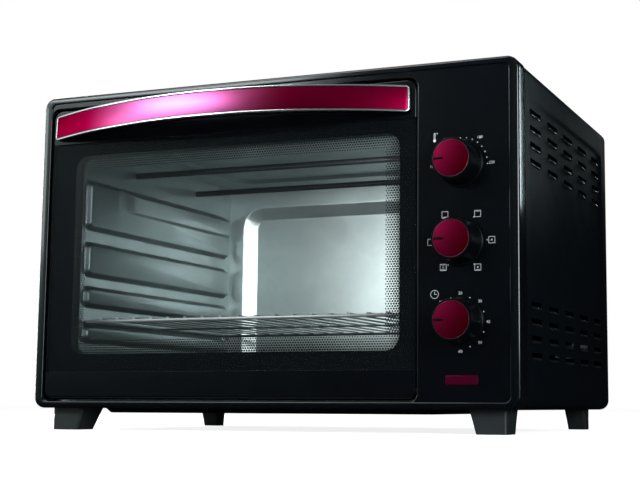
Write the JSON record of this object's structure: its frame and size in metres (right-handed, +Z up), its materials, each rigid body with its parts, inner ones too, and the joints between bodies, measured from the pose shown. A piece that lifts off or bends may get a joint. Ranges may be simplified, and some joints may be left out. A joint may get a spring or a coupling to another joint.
{
  "type": "mini oven",
  "caption": "Countertop mini oven with a drop-down glass door, bowed handle, rotary controls, wire rack, tubular heaters and louvred steel casing on tapered feet.",
  "frame": {"origin": "on the worktop, under the middle of the whole oven, handle and cord bush included", "axes": "+X to the right seen from the front, +Y towards the back, +Z up"},
  "size_m": [0.54, 0.44, 0.36],
  "materials": {
    "black_gloss": "gloss black moulding",
    "casing_paint": "black powder paint on steel sheet",
    "black_plastic": "fine satin black moulding",
    "bush_rubber": "black rubber",
    "galvanised": "bright zinc-coated steel sheet",
    "chrome_wire": "bright plated wire",
    "heater_steel": "dark heat-tinted tube",
    "zinc_steel": "zinc-plated steel",
    "door_glass": "clear tempered glass with a black printed border",
    "silver_trim": "bright metallised trim",
    "crimson_metal": "crimson metallic lacquer",
    "control_housing": "heat-resistant pale moulding",
    "lens_red": "translucent red moulding",
    "lamp_glass": "clear glass tube"
  },
  "bodies": {
    "body": {"front_bezel": "black_gloss", "control_bracket": "zinc_steel", "casing_wrapper": "casing_paint", "rear_panel": "casing_paint", "base_panel": "casing_paint", "foot_front_left": "black_plastic", "foot_front_right": "black_plastic", "foot_rear_left": "black_plastic", "foot_rear_right": "black_plastic", "cord_bush": "bush_rubber", "terminal_block": "control_housing", "rear_screw_1": "zinc_steel", "rear_screw_2": "zinc_steel", "rear_screw_3": "zinc_steel", "rear_screw_4": "zinc_steel", "cavity_front_frame": "galvanised", "cavity_left_wall": "galvanised", "cavity_right_wall": "galvanised", "cavity_back_wall": "galvanised", "cavity_ceiling": "galvanised", "cavity_floor": "galvanised", "crumb_tray": "galvanised", "heater_top_front": "heater_steel", "heater_top_rear": "heater_steel", "heater_bottom_front": "heater_steel", "heater_bottom_rear": "heater_steel", "fan_motor": "zinc_steel", "fan_grille": "galvanised", "hinge_bracket_left": "zinc_steel", "hinge_bracket_right": "zinc_steel", "hinge_pin_left": "chrome_wire", "hinge_pin_right": "chrome_wire", "thermostat": "control_housing", "function_switch": "control_housing", "timer_clockwork": "control_housing", "indicator_lens": "lens_red", "indicator_lamp": "lamp_glass"},
    "door": {"door_inner_frame": "casing_paint", "door_glass": "door_glass", "door_top_rail": "black_gloss", "door_bottom_rail": "black_gloss", "door_stay_left": "zinc_steel", "door_stay_right": "zinc_steel", "handle_bar": "black_plastic", "handle_trim": "silver_trim", "handle_inlay": "crimson_metal"},
    "rack": {"wire_rack": "chrome_wire"},
    "fan": {"fan_impeller": "galvanised", "fan_shaft": "zinc_steel"},
    "temperature_dial": {"temperature_knob": "black_plastic", "temperature_cap": "crimson_metal", "temperature_shaft": "zinc_steel"},
    "function_dial": {"function_knob": "black_plastic", "function_cap": "crimson_metal", "function_shaft": "zinc_steel"},
    "timer_dial": {"timer_knob": "black_plastic", "timer_cap": "crimson_metal", "timer_shaft": "zinc_steel"}
  },
  "joints": [
    {"name": "door_hinge", "type": "hinge", "parent": "body", "child": "door", "pos_m": [-0.0465, -0.16, 0.041], "axis": [1, 0, 0], "range_deg": [0, 85], "stiffness_Nm_per_rad": 1, "springref_deg": -20.05},
    {"name": "rack_slide", "type": "slide", "parent": "body", "child": "rack", "axis": [0, -1, 0], "range_m": [0, 0.13]},
    {"name": "fan_spin", "type": "hinge", "parent": "body", "child": "fan", "pos_m": [0.152, 0.019, 0.1815], "axis": [1, 0, 0], "continuous": true},
    {"name": "temperature_turn", "type": "hinge", "parent": "body", "child": "temperature_dial", "pos_m": [0.212, -0.1685, 0.258], "axis": [0, 1, 0], "range_deg": [0, 180]},
    {"name": "function_turn", "type": "hinge", "parent": "body", "child": "function_dial", "pos_m": [0.212, -0.1685, 0.182], "axis": [0, 1, 0], "range_deg": [0, 300]},
    {"name": "timer_turn", "type": "hinge", "parent": "body", "child": "timer_dial", "pos_m": [0.212, -0.1685, 0.106], "axis": [0, 1, 0], "range_deg": [0, 270]}
  ],
  "couplings": [
    {"joint": "rack_slide", "follows": "door_hinge", "m_per_rad": 0.085}
  ]
}
